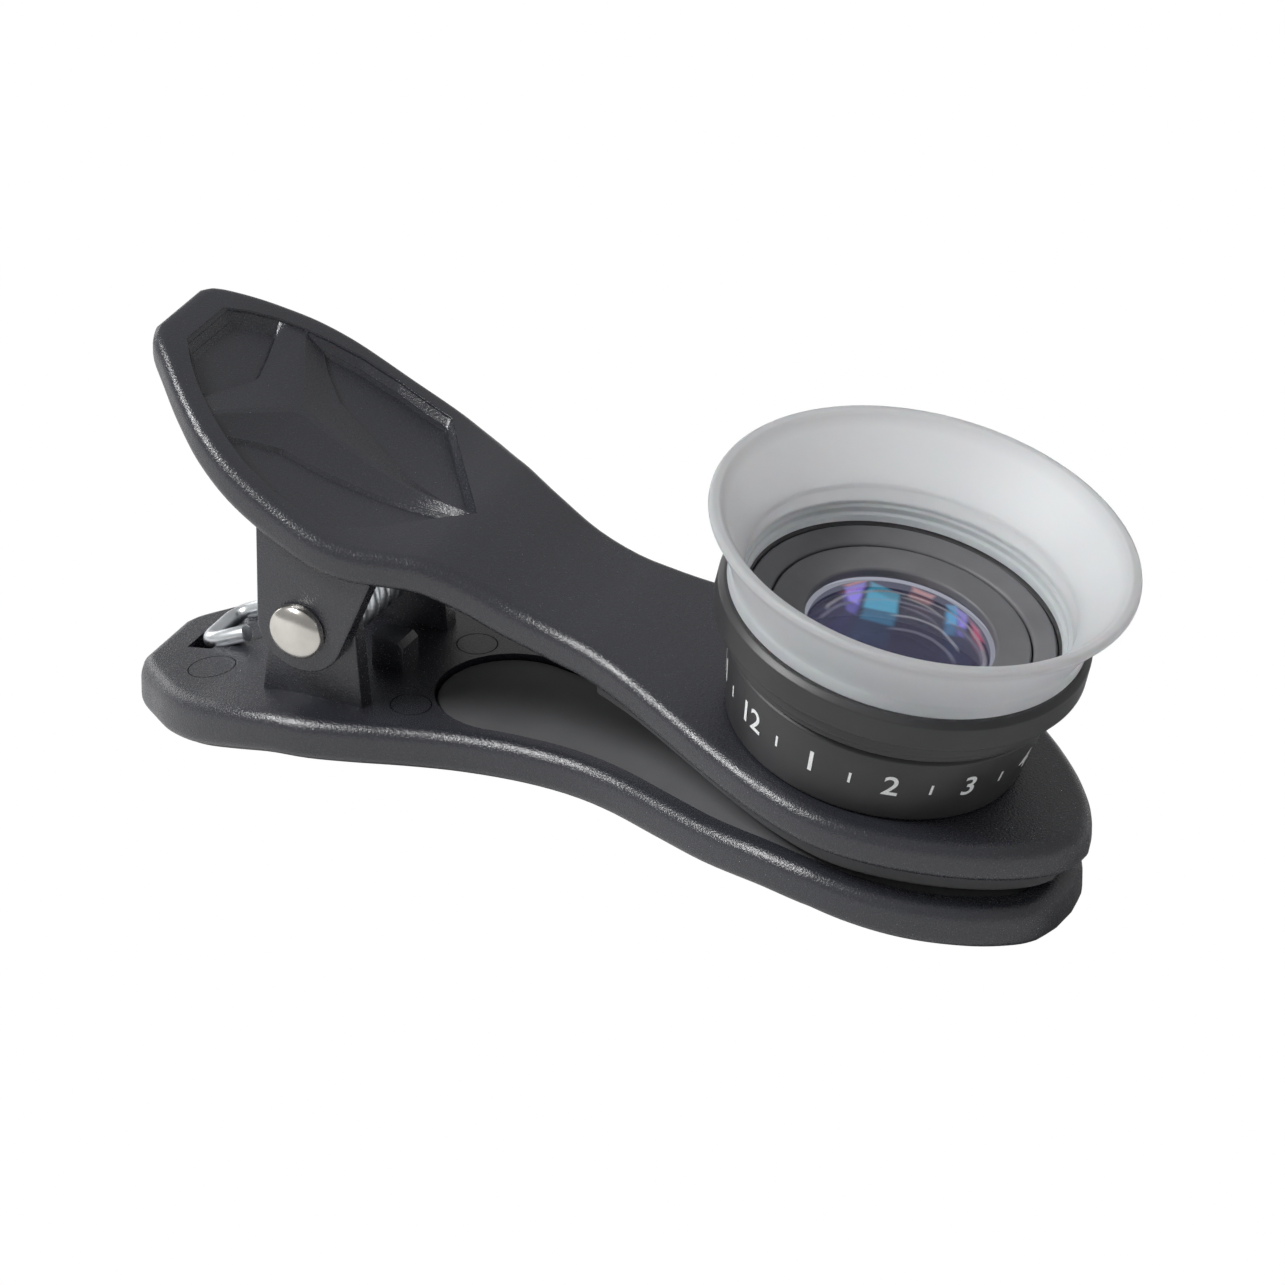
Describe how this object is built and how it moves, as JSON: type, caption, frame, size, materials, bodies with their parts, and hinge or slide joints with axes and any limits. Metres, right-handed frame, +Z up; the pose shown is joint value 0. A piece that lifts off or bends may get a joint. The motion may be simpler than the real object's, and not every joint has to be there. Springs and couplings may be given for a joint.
{
  "type": "clip on phone lens",
  "caption": "Spring clip with a two part screw-in close-up lens, padded jaws, thumb rest, torsion spring and a flared frosted hood.",
  "frame": {"origin": "on the resting plane, under the middle of the whole clip", "axes": "+X from the handles to the jaws, +Y to the left side of the clip, +Z up"},
  "size_m": [0.091, 0.0366, 0.0378],
  "materials": {
    "arms": "charcoal moulded plastic, fine satin grain",
    "pads": "dark grey soft rubber, matt",
    "pin_steel": "bright nickel plated rivet",
    "spring_steel": "bright zinc plated spring wire",
    "lens_body": "black anodised, satin",
    "lens_glass": "polished, with a violet and green coating",
    "hood_plastic": "frosted translucent plastic"
  },
  "bodies": {
    "base": {"lower_arm": "arms", "lower_pad": "pads", "pivot_pin": "pin_steel", "pin_cap": "pin_steel", "torsion_spring": "spring_steel"},
    "jaw": {"upper_arm": "arms", "upper_pad": "pads"},
    "rear_core": {"rear_element": "lens_glass", "rear_spacer": "lens_body", "middle_element": "lens_glass", "rear_retaining_ring": "lens_body"},
    "barrel": {"lens_barrel": "lens_body"},
    "front_core": {"flint_element": "lens_glass", "crown_element": "lens_glass", "spacer_ring": "lens_body", "front_element": "lens_glass"},
    "front": {"front_ring": "lens_body", "inner_bezel_ring": "lens_body", "outer_bezel_ring": "lens_body"},
    "hood_body": {"hood": "hood_plastic"}
  },
  "joints": [
    {"name": "jaw_open", "type": "hinge", "parent": "base", "child": "jaw", "pos_m": [-0.02573, 0, 0.01604], "axis": [0, -1, 0], "range_deg": [0, 32], "stiffness_Nm_per_rad": 0.3, "springref_deg": -45.84, "deforming": ["torsion_spring"]},
    {"name": "barrel_travel", "type": "slide", "parent": "jaw", "child": "rear_core", "axis": [0.2351, 0, 0.972], "range_m": [0, 0.0023]},
    {"name": "barrel_turn", "type": "hinge", "parent": "rear_core", "child": "barrel", "pos_m": [0.02307, 0, 0.01414], "axis": [0.2351, 0, 0.972], "range_deg": [0, 1080]},
    {"name": "front_travel", "type": "slide", "parent": "barrel", "child": "front_core", "axis": [0.2351, 0, 0.972], "range_m": [0, 0.0031]},
    {"name": "front_turn", "type": "hinge", "parent": "front_core", "child": "front", "pos_m": [0.02307, 0, 0.01414], "axis": [0.2351, 0, 0.972], "range_deg": [0, 1440]},
    {"name": "hood_pull", "type": "slide", "parent": "front", "child": "hood_body", "axis": [0.2351, 0, 0.972], "range_m": [0, 0.012]}
  ],
  "couplings": [
    {"joint": "barrel_travel", "follows": "barrel_turn", "m_per_rad": 0.00011937},
    {"joint": "front_travel", "follows": "front_turn", "m_per_rad": 0.00011937}
  ]
}
